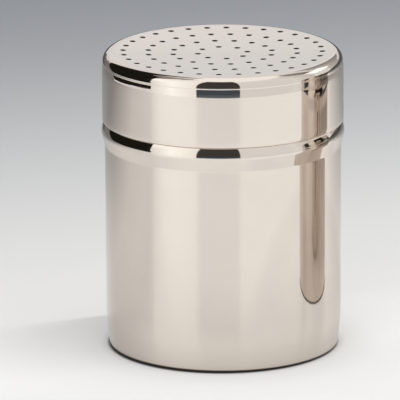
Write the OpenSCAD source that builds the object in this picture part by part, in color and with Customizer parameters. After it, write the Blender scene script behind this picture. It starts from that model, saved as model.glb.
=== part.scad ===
// Spice shaker of polished stainless sheet with a perforated screw lid.
// The canister is one drawn cup: recessed base, straight wall, rolled bead and a
// threaded neck with a curled mouth. The lid is a pressed cap with a threaded ring
// fixed inside it, and a flat seal lies between that ring and the top of the cap.
// Origin: on the table, in the middle of the base, +Z up, millimetres.

/* [Canister] */
// Outer diameter of the straight wall
body_d = 73.5; // [60:0.5:90]
// Height of the bead's widest line above the table
bead_z = 68.6; // [45:0.1:120]
// Sheet thickness of the canister
body_sheet = 0.6; // [0.4:0.05:0.7]
// How far the bead stands out past the lid
bead_lip = 0.25; // [0.1:0.05:0.5]
// Radius of the bead's upper side, which carries the lid
bead_top_r = 6.2; // [5:0.1:8]
// Radius of the bead's lower side
bead_low_r = 3.0; // [2:0.1:4]
// Radius of the soft hollow under the bead
bead_hollow_r = 5.5; // [4:0.1:8]
// Radius of the hollow between shoulder and neck
neck_hollow_r = 1.5; // [1:0.1:2]
// Radius of the curl at the mouth
curl_r = 1.1; // [0.9:0.05:1.4]

/* [Base] */
// Height over which the wall draws in towards the base
draw_in_h = 10; // [6:0.5:14]
// Radius of that draw-in, seen from the side
draw_in_r = 80; // [70:1:200]
// Radius of the bottom corner
foot_corner_r = 1.0; // [0.8:0.05:1.6]
// Width of the flat ring that stands on the table
foot_flat = 0.9; // [0.6:0.1:2]
// Height of the base panel above the table
recess_h = 1.4; // [0.8:0.1:2]
// Radius at the inside of the foot ring
foot_inner_r = 1.8; // [1.4:0.1:2.5]
// Radius at the edge of the base panel
recess_r = 1.2; // [0.8:0.1:2]

/* [Lid] */
// How far the lid stands out past the canister wall
lid_proud = 0.75; // [0.6:0.05:1.2]
// Height of the lid, from its lower edge to its upper rim
lid_h = 21.8; // [18:0.1:30]
// Sheet thickness of the lid
lid_sheet = 0.5; // [0.4:0.05:0.6]
// Radius of the lid's upper corner
lid_corner_r = 2.75; // [2.5:0.05:3.2]
// Depth of the dished top at its middle
dish_depth = 0.85; // [0.3:0.05:1.5]
// How much the lid narrows above its shallow step
step_in = 0.16; // [0.1:0.01:0.3]
// Height of the shallow step
step_h = 2.4; // [2:0.1:3]
// Straight wall between the upper corner and the step
step_drop = 0.6; // [0.4:0.1:1.5]
// Rounding of the lid's lower edge
lid_edge_r = 0.2; // [0.1:0.02:0.2]

/* [Perforation] */
// Diameter of one hole
hole_d = 1.4; // [0.8:0.1:2.5]
// Number of rings of holes
hole_rings = 4; // [1:1:4]
// Distance from one ring to the next
hole_pitch = 7.7; // [6:0.1:7.7]
// Holes in the first ring; each further ring has as many more
holes_first = 8; // [4:1:10]
// Angle of the first hole of each ring
hole_phase = [9, 9, -6, -2.2];

/* [Thread] */
// Rise of the thread in one turn
thread_pitch = 4.5; // [4:0.1:6]
// Turns of the rolled rib on the neck and of the one in the ring
thread_turns = 1.5; // [1:0.25:1.75]
// Height of both rolled ribs
rib_h = 1.05; // [0.8:0.05:1.3]
// Half the width of a rib at its root
rib_half_w = 1.2; // [1:0.05:1.4]
// Height of the ring's rib below the neck's rib when the lid is closed
rib_offset = 1.6; // [1.5:0.05:2]
// Gap between each rib's crest and the wall that it faces
thread_gap = 0.3; // [0.2:0.05:0.4]
// Height of the neck's rib above the start of the straight neck
thread_start = 3.2; // [2.8:0.1:4.5]

/* [Thread ring] */
// Sheet thickness of the ring
ring_sheet = 0.5; // [0.4:0.05:0.6]
// Gap round the ring where it is fixed in the lid
ring_fit = 0.02; // [0.01:0.01:0.05]
// Height of the ring's lower edge above the lid's lower edge
ring_inset = 2.0; // [1.5:0.1:3]
// Outer radius of the bend under the seal
ring_bend_r = 1.0; // [0.8:0.05:1.1]

/* [Seal] */
// Thickness of the seal
seal_t = 1.1; // [0.8:0.1:1.3]
// Width of the seal across the mouth
seal_w = 3.0; // [2.4:0.1:3.6]
// Gap between the seal and the lid
seal_fit = 0.25; // [0.2:0.05:0.3]
// Gap between the seal and the ring that holds it up
seal_rest = 0.1; // [0.05:0.05:0.2]

/* [Closing] */
// Gap between the lid's lower edge and the bead
seat_gap = 0.3; // [0.2:0.05:0.5]
// Gap between the curled mouth and the seal
mouth_gap = 0.2; // [0.1:0.05:0.3]

/* [Hidden] */
$fn = 144;
steel = [0.80, 0.78, 0.76];
silicone = [0.90, 0.90, 0.87];

// Points along a small arc, a soft curve and the dished top
corner_steps = 8;
soft_steps = 5;
dish_steps = 4;
// Facets of a rolled rib: round the axis, across its section and over its run-out
turn_steps = 48;
rib_steps = 5;
runout = 30;
// How far a rib's foot is sunk below the face that it stands on, and its back
foot_sink = 0.3;
back_sink = 0.42;
// What a groove behind a rib leaves out of the rib's height and half width
groove_short = 0.15;
groove_narrow = 0.3;
// How far a cut runs past the sheet that it goes through
cut = 1;

// Radii, from the outside inwards
body_r = body_d / 2;
lid_r = body_r + lid_proud;
lid_in_r = lid_r - lid_sheet;
lid_top_r = lid_r - step_in;
bead_r = lid_r + bead_lip;
ring_r = lid_top_r - lid_sheet - ring_fit;
ring_in_r = ring_r - ring_sheet;
neck_r = ring_in_r - thread_gap - rib_h;
neck_in_r = neck_r - body_sheet;
ring_lip_r = neck_r + thread_gap;
dish_r = lid_top_r - lid_corner_r;

// Heights, from the bead upwards
bead_rise = sqrt(pow(bead_top_r, 2) - pow(lid_in_r - bead_r + bead_top_r, 2));
lid_z = bead_z + bead_rise + seat_gap;
lid_top_z = lid_z + lid_h;
corner_z = lid_top_z - lid_corner_r;
seal_out_r = ring_in_r - seal_rest;
seal_in_r = seal_out_r - seal_w;
seal_top_z = dish_z(seal_in_r) - lid_sheet - seal_fit;
seal_z = seal_top_z - seal_t;
ring_z = lid_z + ring_inset;
ring_top_z = seal_z - seal_rest;
mouth_z = seal_z - mouth_gap;

// Centres and angles of the curves that run into each other
draw_in_x = body_r - draw_in_r;
foot_x = draw_in_x + sqrt(pow(draw_in_r - foot_corner_r, 2) - pow(draw_in_h - foot_corner_r, 2));
draw_in_a = asin((draw_in_h - foot_corner_r) / (draw_in_r - foot_corner_r));
recess_a = acos(1 - recess_h / (foot_inner_r + recess_r));
recess_x = foot_x - foot_flat - (foot_inner_r + recess_r) * sin(recess_a);
bead_a = acos(1 - (bead_r - body_r) / (bead_low_r + bead_hollow_r));
hollow_z = bead_z - (bead_low_r + bead_hollow_r) * sin(bead_a);
shoulder_x = bead_r - bead_top_r;
neck_hollow_x = neck_r + neck_hollow_r;
shoulder_a = acos((neck_hollow_x - shoulder_x) / (bead_top_r + neck_hollow_r));
neck_z = bead_z + (bead_top_r + neck_hollow_r) * sin(shoulder_a);
step_r = (pow(step_h, 2) + pow(step_in, 2)) / (4 * step_in);
step_a = asin(step_h / (2 * step_r));
step_z = corner_z - step_drop;
rib_z = neck_z + thread_start;

// Height of the dished top's upper face at a radius
function dish_z(r) = lid_top_z - dish_depth * (1 - pow(r / dish_r, 2));

// Points of an arc: centre, radius, first and last angle, number of steps
function arc(x, z, r, a0, a1, n) =
    [for (i = [0:n]) let (a = a0 + (a1 - a0) * i / n) [x + r * cos(a), z + r * sin(a)]];

function backwards(list) = [for (i = [len(list) - 1:-1:0]) list[i]];

// One face of the canister's sheet, from the base panel to the curl.
// t is how far that face lies inside the outer one.
function canister_face(t) = concat(
    arc(recess_x, recess_h - recess_r, recess_r + t, 90, 90 - recess_a, corner_steps),
    arc(foot_x - foot_flat, foot_inner_r, foot_inner_r - t, 270 - recess_a, 270, corner_steps),
    arc(foot_x, foot_corner_r, foot_corner_r - t, -90, -draw_in_a, corner_steps),
    arc(draw_in_x, draw_in_h, draw_in_r - t, -draw_in_a, 0, soft_steps),
    arc(body_r + bead_hollow_r, hollow_z, bead_hollow_r + t, 180, 180 - bead_a, soft_steps),
    arc(bead_r - bead_low_r, bead_z, bead_low_r - t, -bead_a, 0, soft_steps),
    arc(shoulder_x, bead_z, bead_top_r - t, 0, shoulder_a, corner_steps),
    arc(neck_hollow_x, neck_z, neck_hollow_r + t, 180 + shoulder_a, 180, corner_steps),
    arc(neck_r - curl_r, mouth_z - curl_r, curl_r - t, 0, 250, 2 * corner_steps)
);

// One face of the lid's sheet, from the middle of the top to the lower edge
function lid_face(t) = concat(
    [for (i = [0:dish_steps]) let (r = max(0, i - 0.5) * hole_pitch) [r, dish_z(r) - t]],
    arc(dish_r, corner_z, lid_corner_r - t, 90, 0, corner_steps),
    arc(lid_top_r + step_r, step_z, step_r + t, 180, 180 + step_a, soft_steps),
    arc(lid_r - step_r, step_z - step_h, step_r - t, step_a, 0, soft_steps)
);

// A rolled rib or the groove behind one, winding up the axis as a closed mesh.
// r is the face that it stands on, out is 1 outwards and -1 inwards.
module rolled_rib(r, out, high, half_w, z) {
    steps = round(turn_steps * thread_turns);
    size = rib_steps + 3;
    function fade(a) = min(1, a / runout, (360 * thread_turns - a) / runout);
    function rise(u, a) = (high + foot_sink) * fade(a) * cos(90 * u) - foot_sink;
    function section(a) = concat(
        [[-back_sink, -1]],
        [for (i = [0:rib_steps]) let (u = 2 * i / rib_steps - 1) [rise(u, a), u]],
        [[-back_sink, 1]]
    );
    points = [
        for (i = [0:steps]) let (a = 360 * thread_turns * i / steps)
            for (p = section(a))
                [(r + out * p[0]) * cos(a), (r + out * p[0]) * sin(a),
                    z + thread_pitch * a / 360 + half_w * p[1]]
    ];
    sides = [
        for (i = [0:steps - 1], j = [0:size - 1])
            let (a = i * size + j, b = i * size + (j + 1) % size)
                each [[a, a + size, b], [b, a + size, b + size]]
    ];
    ends = [
        [for (j = [0:size - 1]) j],
        [for (j = [size - 1:-1:0]) steps * size + j]
    ];
    faces = concat(sides, ends);
    polyhedron(points, out > 0 ? [for (f = faces) backwards(f)] : faces);
}

// Drawn cup with its bead, its rolled neck thread and its curled mouth
module canister() {
    color(steel) difference() {
        union() {
            rotate_extrude() polygon(concat(
                [[0, recess_h]],
                canister_face(0),
                backwards(canister_face(body_sheet)),
                [[0, recess_h + body_sheet]]
            ));
            rolled_rib(neck_r, 1, rib_h, rib_half_w, rib_z);
        }
        rolled_rib(neck_in_r, 1, rib_h - groove_short, rib_half_w - groove_narrow, rib_z);
    }
}

// Pressed cap with a dished top and rings of fine holes
module lid_cap() {
    color(steel) difference() {
        rotate_extrude() polygon(concat(
            lid_face(0),
            arc(lid_r - lid_edge_r, lid_z + lid_edge_r, lid_edge_r, 0, -90, corner_steps),
            arc(lid_in_r + lid_edge_r, lid_z + lid_edge_r, lid_edge_r, 270, 180, corner_steps),
            backwards(lid_face(lid_sheet))
        ));
        for (ring = [1:hole_rings], i = [1:holes_first * ring])
            rotate(hole_phase[ring - 1] + 360 * i / (holes_first * ring))
                translate([hole_pitch * ring, 0, lid_top_z - dish_depth - lid_sheet - cut])
                    cylinder(d = hole_d, h = dish_depth + lid_sheet + 2 * cut, $fn = 24);
    }
}

// Ring with the rolled thread, fixed inside the cap, with a lip that holds the seal up
module lid_thread_ring() {
    bend_x = ring_r - ring_bend_r;
    bend_z = ring_top_z - ring_bend_r;
    color(steel) difference() {
        union() {
            rotate_extrude() polygon(concat(
                [[ring_in_r, ring_z], [ring_r, ring_z]],
                arc(bend_x, bend_z, ring_bend_r, 0, 90, corner_steps),
                [[ring_lip_r, ring_top_z], [ring_lip_r, ring_top_z - ring_sheet]],
                arc(bend_x, bend_z, ring_bend_r - ring_sheet, 90, 0, corner_steps)
            ));
            rolled_rib(ring_in_r, -1, rib_h, rib_half_w, rib_z - rib_offset);
        }
        rolled_rib(ring_r, -1, rib_h - groove_short, rib_half_w - groove_narrow, rib_z - rib_offset);
    }
}

// Flat seal above the mouth, rounded where it lies in the cap's corner
module lid_seal() {
    nest_r = lid_corner_r - lid_sheet - seal_fit;
    a0 = acos((seal_out_r - dish_r) / nest_r);
    a1 = asin((seal_top_z - corner_z) / nest_r);
    color(silicone) rotate_extrude() polygon(concat(
        [[seal_in_r, seal_z], [seal_out_r, seal_z]],
        arc(dish_r, corner_z, nest_r, a0, a1, corner_steps),
        [[seal_in_r, seal_top_z]]
    ));
}

canister();
lid_cap();
lid_thread_ring();
lid_seal();
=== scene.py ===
import math
import bmesh
import bpy
from mathutils import Matrix, Vector


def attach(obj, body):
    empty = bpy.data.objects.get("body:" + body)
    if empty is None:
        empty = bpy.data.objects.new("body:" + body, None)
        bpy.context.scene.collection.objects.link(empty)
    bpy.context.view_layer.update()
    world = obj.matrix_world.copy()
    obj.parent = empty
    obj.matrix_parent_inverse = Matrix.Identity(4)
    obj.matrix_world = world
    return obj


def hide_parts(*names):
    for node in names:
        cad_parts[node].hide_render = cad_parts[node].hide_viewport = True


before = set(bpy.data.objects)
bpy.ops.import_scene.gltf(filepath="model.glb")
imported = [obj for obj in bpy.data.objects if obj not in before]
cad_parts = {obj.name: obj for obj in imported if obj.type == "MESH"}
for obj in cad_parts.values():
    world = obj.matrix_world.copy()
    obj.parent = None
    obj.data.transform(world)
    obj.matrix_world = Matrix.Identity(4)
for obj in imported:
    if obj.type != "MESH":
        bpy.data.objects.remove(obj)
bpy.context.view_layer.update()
mm = 0.001
scene = bpy.context.scene
scene.view_settings.view_transform = "Standard"


# colour given as 0 to 255 values, as the linear values that the nodes take
def tone(red, green, blue):
    return tuple(((c / 255 + 0.055) / 1.055) ** 2.4 for c in (red, green, blue))


# camera: a long lens, a little above the lid; millimetres of film, metres and degrees
camera = {
    "lens": 512.5, "film": 36, "clip": (0.05, 30), "place": (0, -1.7164, 0.5096),
    "pitch": 15.129, "yaw": -0.242, "roll": -0.288,
}


def placeCamera(c):
    pitch, yaw, roll = (math.radians(c[k]) for k in ("pitch", "yaw", "roll"))
    level = math.cos(pitch)
    ahead = Vector((math.sin(yaw) * level, math.cos(yaw) * level, -math.sin(pitch)))
    right = Vector((math.cos(yaw), -math.sin(yaw), 0))
    up = right.cross(ahead)
    side = right * math.cos(roll) + up * math.sin(roll)
    top = up * math.cos(roll) - right * math.sin(roll)
    data = bpy.data.cameras.new("productCamera")
    data.lens, data.sensor_width = c["lens"], c["film"]
    data.clip_start, data.clip_end = c["clip"]
    obj = bpy.data.objects.new("productCamera", data)
    turn = Matrix((side, top, -ahead)).transposed()
    obj.matrix_world = Matrix.Translation(c["place"]) @ turn.to_4x4()
    scene.collection.objects.link(obj)
    scene.camera = obj


placeCamera(camera)
print("camera placed")

# millimetres: steps along a profile, facets round a piece, and the smallest gap between two points
profileStep, facets, smallest = 1.5, 192, 1e-4


# points of an arc as (radius, height), in millimetres and degrees
def arc(x, z, radius, start, end, steps):
    turns = [math.radians(start + (end - start) * i / steps) for i in range(steps + 1)]
    return [(x + radius * math.cos(t), z + radius * math.sin(t)) for t in turns]


# extra points on every stretch longer than the given length, and none twice
def filled(points, longest):
    out = [points[0]]
    for x, z in points[1:]:
        x0, z0 = out[-1]
        length = math.hypot(x - x0, z - z0)
        if length < smallest:
            continue
        parts = math.ceil(length / longest)
        out += [(x0 + (x - x0) * i / parts, z0 + (z - z0) * i / parts) for i in range(1, parts + 1)]
    return out


# closed mesh turned from points (radius, height) in millimetres, both ends on the axis
def turned(name, points, bulge=None):
    mesh, rings = bmesh.new(), []
    for r, z in points:
        if r < smallest:
            rings.append([mesh.verts.new((0, 0, z * mm))])
            continue
        ring = []
        for i in range(facets):
            a = 2 * math.pi * i / facets
            out = (r + (bulge(r, z, math.degrees(a)) if bulge else 0)) * mm
            ring.append(mesh.verts.new((out * math.cos(a), out * math.sin(a), z * mm)))
        rings.append(ring)
    for low, high in zip(rings, rings[1:]):
        for i in range(facets):
            j = (i + 1) % facets
            if len(low) == 1:
                mesh.faces.new((low[0], high[j], high[i]))
            elif len(high) == 1:
                mesh.faces.new((low[i], low[j], high[0]))
            else:
                mesh.faces.new((low[i], low[j], high[j], high[i]))
    return made(name, mesh)


# object from a mesh that is built up, smooth and with its faces outwards
def made(name, mesh):
    bmesh.ops.recalc_face_normals(mesh, faces=mesh.faces)
    data = bpy.data.meshes.new(name)
    mesh.to_mesh(data)
    mesh.free()
    data.shade_smooth()
    obj = bpy.data.objects.new(name, data)
    scene.collection.objects.link(obj)
    return obj


# canister: one drawn cup, from the recessed base to the curled mouth, in millimetres and degrees
canister = {
    "wallR": 36.75, "sheet": 0.6, "drawInH": 14, "drawInR": 98,
    "footR": 1.0, "footFlat": 0.9, "recessH": 1.4, "footInnerR": 1.8, "recessR": 1.2,
    "hollowR": 1.5, "coneA": 14, "beadR": 37.75, "beadZ": 68.45, "beadLowR": 2.0, "beadTopR": 6.2,
    "neckR": 34.97, "neckHollowR": 1.5, "curlR": 1.1, "curlA": 250, "mouthZ": 91.54,
    "ribZ": 77.72, "ribH": 1.05, "ribHalfW": 1.2, "grooveH": 0.9, "grooveHalfW": 0.9,
    "pitch": 4.5, "turns": 1.5, "runOut": 30, "threadStep": 0.25, "onNeck": 1e-3,
}


# angle of the shoulder where it turns up to the neck, in degrees, and height of the neck's foot
def neckFoot(c):
    bendR = c["beadTopR"] + c["neckHollowR"]
    across = c["neckR"] + c["neckHollowR"] - (c["beadR"] - c["beadTopR"])
    angle = math.degrees(math.acos(across / bendR))
    return angle, c["beadZ"] + bendR * math.sin(math.radians(angle))


# outer face of the cup, or the face at depth t under it
def canisterFace(c, t):
    footX = c["wallR"] - c["drawInR"] + math.sqrt(
        (c["drawInR"] - c["footR"]) ** 2 - (c["drawInH"] - c["footR"]) ** 2)
    drawInA = math.degrees(math.asin((c["drawInH"] - c["footR"]) / (c["drawInR"] - c["footR"])))
    bendR = c["footInnerR"] + c["recessR"]
    recessA = math.degrees(math.acos(1 - c["recessH"] / bendR))
    recessX = footX - c["footFlat"] - bendR * math.sin(math.radians(recessA))
    coneA, bendR = math.radians(c["coneA"]), c["beadLowR"] + c["hollowR"]
    coneL = (c["beadR"] - c["wallR"] - bendR * (1 - math.cos(coneA))) / math.sin(coneA)
    hollowZ = c["beadZ"] - bendR * math.sin(coneA) - coneL * math.cos(coneA)
    shoulderA, neckZ = neckFoot(c)
    return (
        arc(recessX, c["recessH"] - c["recessR"], c["recessR"] + t, 90, 90 - recessA, 10)
        + arc(footX - c["footFlat"], c["footInnerR"], c["footInnerR"] - t, 270 - recessA, 270, 10)
        + arc(footX, c["footR"], c["footR"] - t, -90, -drawInA, 16)
        + arc(c["wallR"] - c["drawInR"], c["drawInH"], c["drawInR"] - t, -drawInA, 0, 12)
        + arc(c["wallR"] + c["hollowR"], hollowZ, c["hollowR"] + t, 180, 180 - c["coneA"], 12)
        + arc(c["beadR"] - c["beadLowR"], c["beadZ"], c["beadLowR"] - t, -c["coneA"], 0, 12)
        + arc(c["beadR"] - c["beadTopR"], c["beadZ"], c["beadTopR"] - t, 0, shoulderA, 24)
        + arc(c["neckR"] + c["neckHollowR"], neckZ, c["neckHollowR"] + t, 180 + shoulderA, 180, 14)
        + arc(c["neckR"] - c["curlR"], c["mouthZ"] - c["curlR"], c["curlR"] - t, 0, c["curlA"], 28))


def makeCanister(c):
    outer, inner = canisterFace(c, 0), canisterFace(c, c["sheet"])
    middle = (0, c["recessH"]), (0, c["recessH"] + c["sheet"])
    points = filled([middle[0]] + outer + inner[::-1] + [middle[1]], profileStep)
    _, low = neckFoot(c)
    top = c["mouthZ"] - c["curlR"]
    neck = (c["neckR"], c["neckR"] - c["sheet"])
    fine = []
    for (x0, z0), (x1, z1) in zip(points, points[1:]):  # short steps where the thread is rolled in
        onNeck = abs(x0 - x1) < c["onNeck"] and min(abs(x0 - n) for n in neck) < c["onNeck"]
        fine += filled([(x0, z0), (x1, z1)], c["threadStep"])[:-1] if onNeck else [(x0, z0)]
    fine.append(points[-1])

    def rolledThread(r, z, a):
        if not low < z < top or min(abs(r - n) for n in neck) > c["onNeck"]:
            return 0
        outside = abs(r - neck[0]) < c["onNeck"]
        high, half = (c["ribH"], c["ribHalfW"]) if outside else (c["grooveH"], c["grooveHalfW"])
        out, last = 0, 360 * c["turns"]
        while a <= last:
            u = (z - c["ribZ"] - c["pitch"] * a / 360) / half
            if abs(u) < 1:
                fade = min(1, a / c["runOut"], (last - a) / c["runOut"])
                out = max(out, high * fade * (0.5 + 0.5 * math.cos(math.pi * u)))
            a += 360
        return out

    return turned("canisterShell", fine, bulge=rolledThread)


canisterShell = makeCanister(canister)
print("canister turned:", len(canisterShell.data.polygons), "faces")


# lid: pressed cap with a dished top, in millimetres and degrees
lid = {
    "r": 37.5, "sheet": 0.5, "topR": 37.35, "cornerR": 3.1, "cornerH": 3.2,
    "lowZ": 71.856, "topZ": 93.6558, "dish": 0.85, "dishSteps": 30,
    "stepDrop": 0.20, "stepUp": 0.6, "stepLow": 2.5, "wallEnd": 0.08, "edgeR": 0.2, "sharpA": 40,
}
# its holes, and how far their punch reaches past the sheet
holes = {
    "d": 1.4, "pitch": 7.7, "first": 8, "phase": (9, 9, -6, -2.2), "facets": 24,
    "rollIn": 0.09, "rollWide": 0.40, "rollSteps": 5, "below": -3, "above": 0.5, "aboveWide": 1.05,
}


def dishZ(c, r):
    return c["topZ"] - c["dish"] * (1 - (r / (c["topR"] - c["cornerR"])) ** 2)


# outer face of the cap, or the face at depth t under it
def lidFace(c, t):
    dishR, cornerZ, steps = c["topR"] - c["cornerR"], c["topZ"] - c["cornerH"], c["dishSteps"]
    stretch = (c["cornerH"] - t) / (c["cornerR"] - t)
    corner = [(x, cornerZ + z * stretch) for x, z in arc(dishR, 0, c["cornerR"] - t, 90, 0, 32)]
    lean = 2 * math.atan((c["r"] - c["topR"]) / (c["stepUp"] + c["stepLow"]))
    upR, lowR = c["stepUp"] / math.sin(lean), c["stepLow"] / math.sin(lean)
    stepA, stepZ = math.degrees(lean), cornerZ - c["stepDrop"]
    return (
        [(dishR * i / steps, dishZ(c, dishR * i / steps) - t) for i in range(steps)]
        + corner
        + [(c["topR"] - t, cornerZ - c["wallEnd"]), (c["topR"] - t, stepZ + c["wallEnd"])]
        + arc(c["topR"] + upR, stepZ, upR + t, 180, 180 + stepA, 8)
        + arc(c["r"] - lowR, stepZ - c["stepUp"] - c["stepLow"], lowR - t, stepA, 0, 12))


# one punch for all the holes, with a shallow flare where the sheet is drawn in round each
def makePunch(c, h):
    mesh = bmesh.new()
    radius, wide, steps, around = h["d"] / 2, h["rollWide"], h["rollSteps"], h["facets"]
    flare = [(radius + wide * k / steps, -h["rollIn"] * (1 - k / steps) ** 2)
             for k in range(steps + 1)]
    side = [(radius, h["below"])] + flare + [(radius + wide * h["aboveWide"], h["above"])]
    turns = [2 * math.pi * k / around for k in range(around)]
    for ring, phase in enumerate(h["phase"], 1):
        count, ringR = h["first"] * ring, h["pitch"] * ring
        for i in range(count):
            a = math.radians(phase + 360 * i / count)
            x, y, z = ringR * math.cos(a), ringR * math.sin(a), dishZ(c, ringR)
            loops = []
            for r, dz in side:
                spots = [(x + r * math.cos(t), y + r * math.sin(t), z + dz) for t in turns]
                loops.append([mesh.verts.new([v * mm for v in spot]) for spot in spots])
            for low, high in zip(loops, loops[1:]):
                for k in range(around):
                    j = (k + 1) % around
                    mesh.faces.new((low[k], low[j], high[j], high[k]))
            mesh.faces.new(loops[0][::-1])
            mesh.faces.new(loops[-1])
    return made("punch", mesh)


def makeLid(c, h):
    edge = c["edgeR"]
    points = (
        lidFace(c, 0)
        + arc(c["r"] - edge, c["lowZ"] + edge, edge, 0, -90, 6)
        + arc(c["r"] - c["sheet"] + edge, c["lowZ"] + edge, edge, 270, 180, 6)
        + lidFace(c, c["sheet"])[::-1])
    shell = turned("lidShell", filled(points, profileStep))
    punch = makePunch(c, h)
    cut = shell.modifiers.new("perforate", "BOOLEAN")
    cut.operation, cut.solver, cut.object = "DIFFERENCE", "MANIFOLD", punch
    solid = shell.evaluated_get(bpy.context.evaluated_depsgraph_get())
    data = bpy.data.meshes.new_from_object(solid)
    shell.modifiers.clear()
    shell.data = data
    data.name = "lidShell"
    data.shade_smooth()
    data.set_sharp_from_angle(angle=math.radians(c["sharpA"]))
    bpy.data.objects.remove(punch)
    return shell


lidShell = makeLid(lid, holes)
print("lid turned and perforated:", len(lidShell.data.polygons), "faces")


# short way to add and join shader nodes
class Nodes:
    def __init__(self, owner):
        owner.use_nodes = True
        self.tree = owner.node_tree
        self.tree.nodes.clear()

    def add(self, kind, settings=None, **inputs):
        node = self.tree.nodes.new(kind)
        for key, value in (settings or {}).items():
            setattr(node, key, value)
        for key, value in inputs.items():
            self.set(node, key, value)
        return node

    def set(self, node, key, value):
        slot = node.inputs[int(key[2:]) if key.startswith("in") else key.replace("_", " ")]
        if isinstance(value, bpy.types.NodeSocket):
            self.tree.links.new(value, slot)
        else:
            slot.default_value = value

    def math(self, operation, *values):
        node = self.add("ShaderNodeMath", {"operation": operation})
        for i, value in enumerate(values):
            self.set(node, f"in{i}", value)
        return node.outputs[0]

    def vectors(self, operation, *values):
        node = self.add("ShaderNodeVectorMath", {"operation": operation})
        for i, value in enumerate(values):
            self.set(node, f"in{i}", value)
        return node.outputs["Value" if operation in ("DOT_PRODUCT", "LENGTH") else "Vector"]

    def scaled(self, colour, factor):
        node = self.add("ShaderNodeVectorMath", {"operation": "SCALE"}, in0=colour, in3=factor)
        return node.outputs["Vector"]

    # value taken from one span to another, and held at both ends
    def span(self, value, low, high, start, end):
        node = self.add("ShaderNodeMapRange", in0=value, in1=low, in2=high, in3=start, in4=end)
        return node.outputs["Result"]

    def noise(self, place, size, detail, rough=0.5):
        node = self.add("ShaderNodeTexNoise", Vector=place, Scale=size, Detail=detail, Roughness=rough)
        return node.outputs["Fac"]

    def ramp(self, fac, stops, join="LINEAR"):
        node = self.add("ShaderNodeValToRGB", Fac=fac)
        node.color_ramp.interpolation = join
        marks = node.color_ramp.elements
        while len(marks) < len(stops):
            marks.new(0.5)
        for mark, (place, _) in zip(marks, stops):
            mark.position = place
        for mark, (_, colour) in zip(marks, stops):
            mark.color = (*colour, 1)
        return node.outputs["Color"]

    # painted shade as factors by distance, the last one held beyond
    def shadeByReach(self, reach, stops):
        far = stops[-1][0]
        return self.ramp(self.math("DIVIDE", reach, far), [(at / far, (k, k, k)) for at, k in stops])

    def place(self):
        return self.add("ShaderNodeTexCoord").outputs["Object"]

    def surface(self, kind, **inputs):
        self.add("ShaderNodeOutputMaterial", Surface=self.add(kind, **inputs).outputs[0])


noiseSpan = (0.3, 0.7)      # where nearly all values of a noise lie


# places on a turned piece: stretched out along the turn, and close together up the axis
def turnedPlaces(n, place, c):
    split = n.add("ShaderNodeSeparateXYZ", Vector=place).outputs
    angle = n.math("ARCTAN2", split["Y"], split["X"])
    radius = n.math("SQRT", n.math("ADD", n.math("MULTIPLY", split["X"], split["X"]),
                                   n.math("MULTIPLY", split["Y"], split["Y"])))
    along = n.math("MULTIPLY", n.math("SINE", angle), c["alongScale"])
    across = n.math("MULTIPLY", n.math("COSINE", angle), c["alongScale"])
    up = n.math("MULTIPLY", n.math("ADD", split["Z"], radius), c["upScale"])
    return n.add("ShaderNodeCombineXYZ", X=along, Y=across, Z=up).outputs[0]


# sizes of noises, heights of waves in metres, and what the satin takes off metal and colour
polished = {
    "bright": (0.83, 0.765, 0.70), "dull": (0.80, 0.735, 0.67), "roughness": (0.028, 0.062),
    "smearSize": 60, "smearShare": 0.7, "alongScale": 0.9, "upScale": 5200, "lineShare": 0.3,
    "rollSize": 130, "rollH": 0.000010, "lineH": 0.0000004,
    "satin": 0.6, "satinDim": 0.21, "satinEdge": (0.0332, 0.0342),
}
# painted shade in the holes: the punched walls, which are dull, are darkened almost to black by how
# far they lie below the dished face, in millimetres, within a radius in metres
punched = {"reach": 0.0325, "shades": [(0.004, 1), (0.018, 0.015), (0.46, 0.015), (0.49, 1)]}


def paintedHoleShade(n, place, c, p):
    split = n.add("ShaderNodeSeparateXYZ", Vector=place).outputs
    flat = n.add("ShaderNodeCombineXYZ", X=split["X"], Y=split["Y"]).outputs[0]
    reach = n.vectors("LENGTH", flat)
    share = n.math("POWER", n.math("DIVIDE", reach, (c["topR"] - c["cornerR"]) * mm), 2.0)
    face = n.math("SUBTRACT", c["topZ"], n.math("MULTIPLY", n.math("SUBTRACT", 1.0, share), c["dish"]))
    depth = n.math("SUBTRACT", face, n.math("DIVIDE", split["Z"], mm))
    shade = n.ramp(depth, [(at, (k, k, k)) for at, k in p["shades"]])
    inside = n.math("LESS_THAN", reach, p["reach"])
    white = (1, 1, 1, 1)
    edge = n.add("ShaderNodeMix", {"data_type": "RGBA"}, in0=inside, in6=white, in7=shade).outputs[2]
    return edge, reach


def polishedSteel(name, s, cap=None):
    material = bpy.data.materials.new(name)
    n = Nodes(material)
    place = n.place()
    smear = n.noise(place, s["smearSize"], 4.0, 0.6)
    lines = n.noise(turnedPlaces(n, place, s), 1.0, 3.0, 0.7)
    roll = n.noise(place, s["rollSize"], 1.0)
    colour = n.ramp(smear, list(zip(noiseSpan, (s["dull"], s["bright"]))))
    metal = 1.0
    if cap:  # the perforated face is satin, the rest of the lid mirrors
        edge, reach = paintedHoleShade(n, place, cap, punched)
        satin = n.span(reach, *s["satinEdge"], 1.0, 0.0)
        metal = n.math("SUBTRACT", 1.0, n.math("MULTIPLY", satin, s["satin"]))
        # painted shade: the dull hole walls are darkened almost to black
        colour = n.vectors("MULTIPLY", colour, edge)
        colour = n.scaled(colour, n.math("SUBTRACT", 1.0, n.math("MULTIPLY", satin, s["satinDim"])))
    spread = n.math("ADD", n.math("MULTIPLY", smear, s["smearShare"]),
                    n.math("MULTIPLY", lines, s["lineShare"]))
    wave = n.add("ShaderNodeBump", Strength=1.0, Distance=s["rollH"], Height=roll).outputs[0]
    fine = n.add("ShaderNodeBump", Strength=1.0, Distance=s["lineH"], Height=lines, Normal=wave)
    n.surface("ShaderNodeBsdfPrincipled", Base_Color=colour, Metallic=metal,
              Roughness=n.span(spread, *noiseSpan, *s["roughness"]), Normal=fine.outputs[0])
    return material


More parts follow.
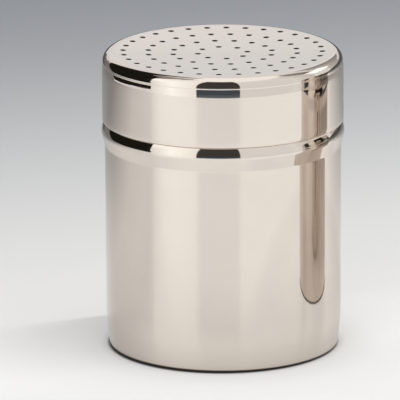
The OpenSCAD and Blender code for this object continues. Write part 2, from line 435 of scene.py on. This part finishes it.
rolled = {
    "colours": ((0.58, 0.55, 0.52), (0.66, 0.63, 0.60)), "cloudSize": 90.0, "roughness": (0.24, 0.36),
    "alongScale": 0.9, "upScale": 2600, "bump": 0.6, "bumpH": 0.000004,
}


def plainSteel(name, s):
    material = bpy.data.materials.new(name)
    n = Nodes(material)
    place = n.place()
    cloud = n.noise(place, s["cloudSize"], 3.0)
    lines = n.noise(turnedPlaces(n, place, s), 1.0, 4.0, 0.7)
    bump = n.add("ShaderNodeBump", Strength=s["bump"], Distance=s["bumpH"], Height=lines)
    n.surface("ShaderNodeBsdfPrincipled", Base_Color=n.ramp(cloud, list(zip(noiseSpan, s["colours"]))),
              Metallic=1.0, Roughness=n.span(lines, *noiseSpan, *s["roughness"]),
              Normal=bump.outputs[0])
    return material


rubber = {
    "colours": ((0.70, 0.70, 0.67), (0.78, 0.78, 0.75)), "cloudSize": 120.0, "roughness": (0.48, 0.62),
    "grainSize": 2200.0, "bump": 0.5, "bumpH": 0.00002,
}


def sealRubber(name, s):
    material = bpy.data.materials.new(name)
    n = Nodes(material)
    place = n.place()
    cloud, grain = n.noise(place, s["cloudSize"], 3.0), n.noise(place, s["grainSize"], 2.0)
    bump = n.add("ShaderNodeBump", Strength=s["bump"], Distance=s["bumpH"], Height=grain)
    n.surface("ShaderNodeBsdfPrincipled", Base_Color=n.ramp(cloud, list(zip(noiseSpan, s["colours"]))),
              Roughness=n.span(grain, *noiseSpan, *s["roughness"]), Normal=bump.outputs[0])
    return material


def finish(obj, material):
    obj.data.materials.clear()
    obj.data.materials.append(material)


finish(canisterShell, polishedSteel("polishedSteel", polished))
finish(lidShell, polishedSteel("punchedSteel", polished, lid))
finish(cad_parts["lid_thread_ring"], plainSteel("rolledRingSteel", rolled))
finish(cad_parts["lid_seal"], sealRubber("sealRubber", rubber))

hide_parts("canister")
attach(canisterShell, "canister")
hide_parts("lid_cap")
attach(lidShell, "lid")
print("materials set and pieces riding")


# for what only the steel sees: no part of it shows to the camera or shades anything
def onlyMirrored(obj):
    obj.visible_camera = obj.visible_diffuse = obj.visible_shadow = False
    obj.visible_transmission = obj.visible_volume_scatter = False


# object of the studio, from points and faces
def staged(name, points, faces, material):
    data = bpy.data.meshes.new(name)
    data.from_pydata(points, [], faces)
    obj = bpy.data.objects.new(name, data)
    scene.collection.objects.link(obj)
    finish(obj, material)
    return obj


discSides = 128


def disc(name, look, material):
    turns = [2 * math.pi * i / discSides for i in range(discSides)]
    ring = [(look["radius"] * math.cos(t), look["radius"] * math.sin(t), look["z"]) for t in turns]
    return staged(name, ring, [tuple(range(discSides))], material)


# floor: tones from the viewer's side to the far side, eased from one to the next, as painted falloff
# of light, then factors by distance from the axis, as painted shade and a painted contact shadow round
# the foot; metres
floorLook = {
    "tones": [(-0.06, tone(248, 247, 245)), (0.54, tone(152, 155, 160))], "join": "EASE",
    "shadeByReach": [(0.0354, 0.07), (0.0365, 0.88), (0.0385, 0.98), (0.05, 1.01), (0.11, 0.94)],
    "radius": 6.0, "z": 0,
}
# table that the steel mirrors in its place, a little glossy, with painted falloff of light that makes
# it darker at the back and painted shade near the foot
tableLook = {
    "tones": [
        (-0.14, tone(250, 248, 246)), (0.08, tone(234, 232, 230)), (0.26, tone(160, 159, 159)),
        (0.40, tone(133, 133, 134)), (0.80, tone(110, 112, 115))],
    "join": "LINEAR",
    "shadeByReach": [
        (0.0352, 0.07), (0.0364, 0.90), (0.039, 0.94), (0.055, 0.99), (0.085, 0.93), (0.17, 0.99)],
    "radius": 0.45, "z": 0.00002, "roughness": 0.32, "specular": 0.19,
}
farTone = floorLook["tones"][-1][1]
# way of the painted falloff of light in both, shift of the painted contact shadow's darkest spot, and
# where the painted shade that evens out the key lamp's light lies
paintedShading = {
    "way": (-0.2, 1.0, 0), "shift": (0.0003, 0.0008, 0),
    "litFrom": -0.018, "litTo": 0.038, "lit": 0.82,
}
keyWay = {"azimuth": 112, "elevation": 70}


# colour by place, with painted light and shade: a painted falloff of light to the back left, painted
# shade where the key lamp reaches that evens out its light, and a painted contact shadow where the
# foot touches
def toneWithPaintedShade(n, look, c, way):
    place, stops = n.place(), look["tones"]
    near, far = stops[0][0], stops[-1][0]
    back = n.span(n.vectors("DOT_PRODUCT", place, c["way"]), near, far, 0.0, 1.0)
    places = [((at - near) / (far - near), shade) for at, shade in stops]
    colour = n.ramp(back, places, look["join"])
    a = math.radians(way["azimuth"])
    across = n.vectors("DOT_PRODUCT", place, (math.cos(a), math.sin(a), 0))
    colour = n.scaled(colour, n.span(across, c["litFrom"], c["litTo"], 1.0, c["lit"]))
    reach = n.vectors("LENGTH", n.vectors("ADD", place, c["shift"]))
    return n.vectors("MULTIPLY", colour, n.shadeByReach(reach, look["shadeByReach"]))


def floorMaterial(look, c, way):
    material = bpy.data.materials.new("paleFloor")
    n = Nodes(material)
    n.surface("ShaderNodeBsdfDiffuse", Color=toneWithPaintedShade(n, look, c, way))
    return material


# soft shadows that only the steel sees: the shaker's own, which is straight, and a round one
# by its neighbour; degrees and metres
tableShadows = {
    "way": 203, "core": 0.010, "rim": 0.046, "full": 0.14, "share": 0.11,
    "shift": (-0.125, 0.01, 0), "ring": [(0.06, 0.97), (0.09, 0.935), (0.112, 0.935), (0.132, 1.0)],
}


def withShadows(n, colour, c):
    place, a = n.place(), math.radians(c["way"])
    along = n.vectors("DOT_PRODUCT", place, (math.cos(a), math.sin(a), 0))
    beside = n.vectors("DOT_PRODUCT", place, (-math.sin(a), math.cos(a), 0))
    wide = n.span(n.math("ABSOLUTE", beside), c["core"], c["rim"], c["share"], 0.0)
    ahead = n.span(along, 0.0, c["full"], 0.0, 1.0)
    straight = n.math("SUBTRACT", 1.0, n.math("MULTIPLY", wide, ahead))
    reach = n.vectors("LENGTH", n.vectors("ADD", place, c["shift"]))
    return n.scaled(n.vectors("MULTIPLY", colour, n.shadeByReach(reach, c["ring"])), straight)


def tableMaterial(look, c, way):
    material = bpy.data.materials.new("mirroredTable")
    n = Nodes(material)
    colour = withShadows(n, toneWithPaintedShade(n, look, c, way), tableShadows)
    n.surface("ShaderNodeBsdfPrincipled", Base_Color=colour, Roughness=look["roughness"],
              Specular_IOR_Level=look["specular"])
    return material


floor = disc("floor", floorLook, floorMaterial(floorLook, paintedShading, keyWay))
floor.visible_glossy = False
onlyMirrored(disc("mirroredTable", tableLook, tableMaterial(tableLook, paintedShading, keyWay)))


def glowMaterial():
    material = bpy.data.materials.new("mirroredRoom")
    n = Nodes(material)
    colour = n.add("ShaderNodeAttribute", {"attribute_name": "glow"}).outputs["Color"]
    n.surface("ShaderNodeEmission", Color=colour)
    return material


glow = glowMaterial()


# sheet of light or dark that only reflections see; rows of (point, colour), all of one length
def glowSheet(name, rows):
    wide = len(rows[0])
    faces = [(r * wide + c, r * wide + c + 1, (r + 1) * wide + c + 1, (r + 1) * wide + c)
             for r in range(len(rows) - 1) for c in range(wide - 1)]
    obj = staged(name, [p for row in rows for p, _ in row], faces, glow)
    layer = obj.data.color_attributes.new("glow", "FLOAT_COLOR", "POINT")
    for i, colour in enumerate(c for row in rows for _, c in row):
        layer.data[i].color = (*colour, 1)
    onlyMirrored(obj)


def mixed(a, b, t):
    return tuple(x + (y - x) * t for x, y in zip(a, b))


# way from the shaker to an azimuth and an elevation in radians
def towards(a, e):
    return Vector((math.sin(a) * math.cos(e), -math.cos(a) * math.cos(e), math.sin(e)))


# grid of each panel: columns across, degrees from row to row, and the height of its middle in metres
grid = {"columns": 24, "rowStep": 3, "middle": 0.085}


# part of the room as seen from the shaker: rows of (elevation, from, to, colour there, colour there);
# azimuth 0 is towards the viewer, and 90 to the right
def roomPanel(name, distance, rows):
    centre, out, count = Vector((0, 0, grid["middle"])), [], grid["columns"]
    for (e0, a0, b0, c0, d0), (e1, a1, b1, c1, d1) in zip(rows, rows[1:]):
        steps = max(1, round(abs(e1 - e0) / grid["rowStep"]))
        for i in range(steps + (e1 == rows[-1][0])):
            t = i / steps
            e, a, b = (math.radians(p + (q - p) * t) for p, q in ((e0, e1), (a0, a1), (b0, b1)))
            left, right = mixed(c0, c1, t), mixed(d0, d1, t)
            row = []
            for k in range(count + 1):
                row.append((centre + distance * towards(a + (b - a) * k / count, e),
                            mixed(left, right, k / count)))
            out.append(row)
    glowSheet(name, out)


def grey(value):
    return (value, value, value)


cream, creamDim, creamEnd = (1.22, 1.22, 1.20), (1.0, 0.98, 0.95), (0.8, 0.78, 0.77)
black, soot, sootTop = (0.011, 0.010, 0.008), (0.050, 0.046, 0.042), (0.09, 0.08, 0.075)
slate, slateLow = (0.060, 0.075, 0.095), (0.12, 0.13, 0.145)
brown, brownDim, brownPale = (0.17, 0.15, 0.14), (0.28, 0.25, 0.23), (0.48, 0.44, 0.41)
warmGrey, warmDim, plaster = (0.59, 0.57, 0.55), (0.24, 0.23, 0.23), (0.86, 0.84, 0.82)
panels = [
    ("creamWall", 1.65, [
        (-13, -49, -24, cream, creamDim), (30, -49, -24, cream, creamDim),
        (64, -49, -24, creamDim, creamDim)]),
    ("creamEdge", 1.65, [
        (-13, -76, -49, creamEnd, cream), (12, -76, -49, creamEnd, cream),
        (30, -76, -49, cream, cream), (64, -76, -49, creamDim, creamDim)]),
    ("darkOpening", 1.6, [
        (-13, -24.6, 16, grey(0.3), grey(0.3)), (-10, -24.6, 16, slateLow, slateLow),
        (-6, -24.6, 16, slate, slate), (-3, -24.6, 16, slate, slate), (0, -24.6, 16, soot, soot),
        (50, -24.6, 16, soot, soot), (64, -24, 15, sootTop, sootTop)]),
    ("darkSide", 1.6, [(e, a, b, black, black) for e, a, b in (
        (-10.4, -124, -116), (-8.8, -126, -92), (-7.8, -129, -71), (-3, -132, -70), (0, -134, -71),
        (8, -139, -71.5), (17, -145, -72), (32, -146, -76), (42, -152, -80), (52, -160, -84),
        (54, -160, -120), (62, -160, -138), (72, -160, -145))]),
    ("darkSideTop", 1.7, [
        (48, -130, -72, brownDim, brownDim), (62, -128, -66, brownDim, brownDim),
        (76, -118, -64, brownPale, brownPale)]),
    ("dimRight", 1.74, [
        (-13, 122, 168, warmGrey, warmDim), (10, 124, 168, warmGrey, warmDim),
        (30, 128, 166, warmGrey, warmDim), (45, 132, 160, warmGrey, warmDim)]),
    ("dimBack", 1.72, [
        (-13, 196, 236, warmDim, warmDim), (8, 196, 232, brown, brown),
        (15, 200, 225, brownPale, brownPale)]),
    ("farEdge", 1.7, [
        (-13, 116, 210, warmGrey, grey(0.1)), (-3, 115, 208, grey(0.1), grey(0.07)),
        (1, 118, 200, grey(0.07), grey(0.07)), (6.5, 130, 186, grey(0.18), grey(0.18))]),
    ("paleBand", 1.7, [
        (8.8, 150, 210, grey(0.75), grey(0.75)), (14, 150, 210, grey(0.75), grey(0.75))]),
    ("brownCorner", 1.7, [(-13, 70, 98, plaster, warmGrey), (60, 72, 96, plaster, warmGrey)]),
    ("darkArch", 1.6, [
        (40, 100, 118, brown, brown), (48, 98, 128, brownDim, brownDim),
        (58, 102, 140, brownDim, brownDim), (62, 108, 142, warmGrey, warmGrey)]),
    ("keyWindow", 1.55, [
        (23, 104, 134, grey(1.4), grey(1.4)), (38, 102, 132, grey(1.4), grey(1.4))]),
]
for name, distance, rows in panels:
    roomPanel(name, distance, rows)

# another shaker of this kind that stands beside this one and is only ever seen mirrored in it: its
# place and the reach of its contact shade in metres, and its steel, a darker and warmer copy of ours,
# as painted shade that dims it in the mirror
neighbour = {
    "place": (0.1265, -0.009, 0), "shadeR": 0.0362, "shadeZ": 0.00004,
    "steel": {**polished, "bright": (0.68, 0.60, 0.53), "dull": (0.62, 0.54, 0.48)},
}


def makeNeighbour(c, pieces):
    steel = polishedSteel("neighbourShadedSteel", c["steel"])
    shade = disc("neighbourShade", {"radius": c["shadeR"], "z": c["shadeZ"]}, glow)
    onlyMirrored(shade)
    shade.location = c["place"]
    for piece in pieces:
        obj = bpy.data.objects.new(f"{piece.name}Beside", piece.data.copy())
        obj.location = c["place"]
        scene.collection.objects.link(obj)
        finish(obj, steel)
        onlyMirrored(obj)


makeNeighbour(neighbour, (canisterShell, lidShell))

# lamps: azimuth and elevation as above, metres and watts; a size of two is a strip
lamps = [
    {"name": "keyLamp", **keyWay, "distance": 1.3,
     "size": (0.009, 0.50), "watts": 3.9, "colour": (1.0, 0.98, 0.95)},
    {"name": "rightLamp", "azimuth": 70, "elevation": 55, "distance": 1.3,
     "size": (0.9,), "watts": 1.2, "colour": (1.0, 0.99, 0.98)},
    {"name": "frontLamp", "azimuth": -25, "elevation": 50, "distance": 1.6,
     "size": (0.9,), "watts": 2.2, "colour": (1.0, 0.99, 0.98)},
]
keyBoard = {**keyWay, "distance": 1.14, "wide": 0.2, "long": 0.33}
lampMiddle = Vector((0, 0, 0.04))       # what the lamps face


def lampPlace(c):
    a, e = math.radians(c["azimuth"]), math.radians(c["elevation"])
    back, side = towards(a, e), Vector((math.cos(a), math.sin(a), 0))
    turn = Matrix((side, back.cross(side), back)).transposed()
    return Matrix.Translation(back * c["distance"] + lampMiddle) @ turn.to_4x4()


# lamp that is never seen in the steel
def softLamp(c):
    data = bpy.data.lights.new(c["name"], "AREA")
    data.energy, data.color = c["watts"], c["colour"]
    data.shape, data.size = "DISK", c["size"][0]
    if len(c["size"]) > 1:
        data.shape, data.size_y = "RECTANGLE", c["size"][1]
    obj = bpy.data.objects.new(c["name"], data)
    obj.matrix_world = lampPlace(c)
    obj.visible_camera = obj.visible_glossy = False
    scene.collection.objects.link(obj)


# board that keeps the key lamp off the floor in front of the shaker, with a soft edge
def lampBoard(name, c):
    wide, long = c["wide"], c["long"]
    corners = [(0.0, -long, 0), (0.0, long, 0), (-wide, long, 0), (-wide, -long, 0)]
    obj = staged(name, corners, [(0, 1, 2, 3)], glow)
    obj.matrix_world = lampPlace(c)
    onlyMirrored(obj)
    obj.visible_glossy, obj.visible_shadow = False, True


for lamp in lamps:
    softLamp(lamp)
lampBoard("keyBoard", keyBoard)

# world: light from above on the pieces, a pale room in the steel, and the floor's far tone beyond it
room = {
    "overhead": (0.28, 1.28), "overheadTone": (0.98, 0.99, 1.0), "mirrorFrom": -0.3,
    "mirrored": [(0.0, (0.80, 0.785, 0.78)), (0.85, (0.82, 0.805, 0.80)), (0.92, (1.05, 1.05, 1.03))],
}


def makeWorld(c):
    world = bpy.data.worlds.new("softRoom")
    scene.world = world
    n = Nodes(world)
    ray = n.add("ShaderNodeLightPath").outputs
    way = n.add("ShaderNodeTexCoord").outputs["Generated"]
    up = n.add("ShaderNodeSeparateXYZ", Vector=way).outputs["Z"]
    mirrored = n.ramp(n.span(up, c["mirrorFrom"], 1.0, 0.0, 1.0), c["mirrored"])
    overhead = n.span(up, 0.0, 1.0, *c["overhead"])
    soft = n.add("ShaderNodeBackground", Color=(*c["overheadTone"], 1), Strength=overhead)
    seen = n.add("ShaderNodeBackground", Color=(*farTone, 1), Strength=1.0)
    mirror = n.add("ShaderNodeBackground", Color=mirrored, Strength=1.0)
    soft, seen, mirror = soft.outputs[0], seen.outputs[0], mirror.outputs[0]
    lit = n.add("ShaderNodeMixShader", in0=ray["Is Glossy Ray"], in1=soft, in2=mirror).outputs[0]
    both = n.add("ShaderNodeMixShader", in0=ray["Is Camera Ray"], in1=lit, in2=seen)
    n.add("ShaderNodeOutputWorld", Surface=both.outputs[0])


makeWorld(room)
print("studio lit")
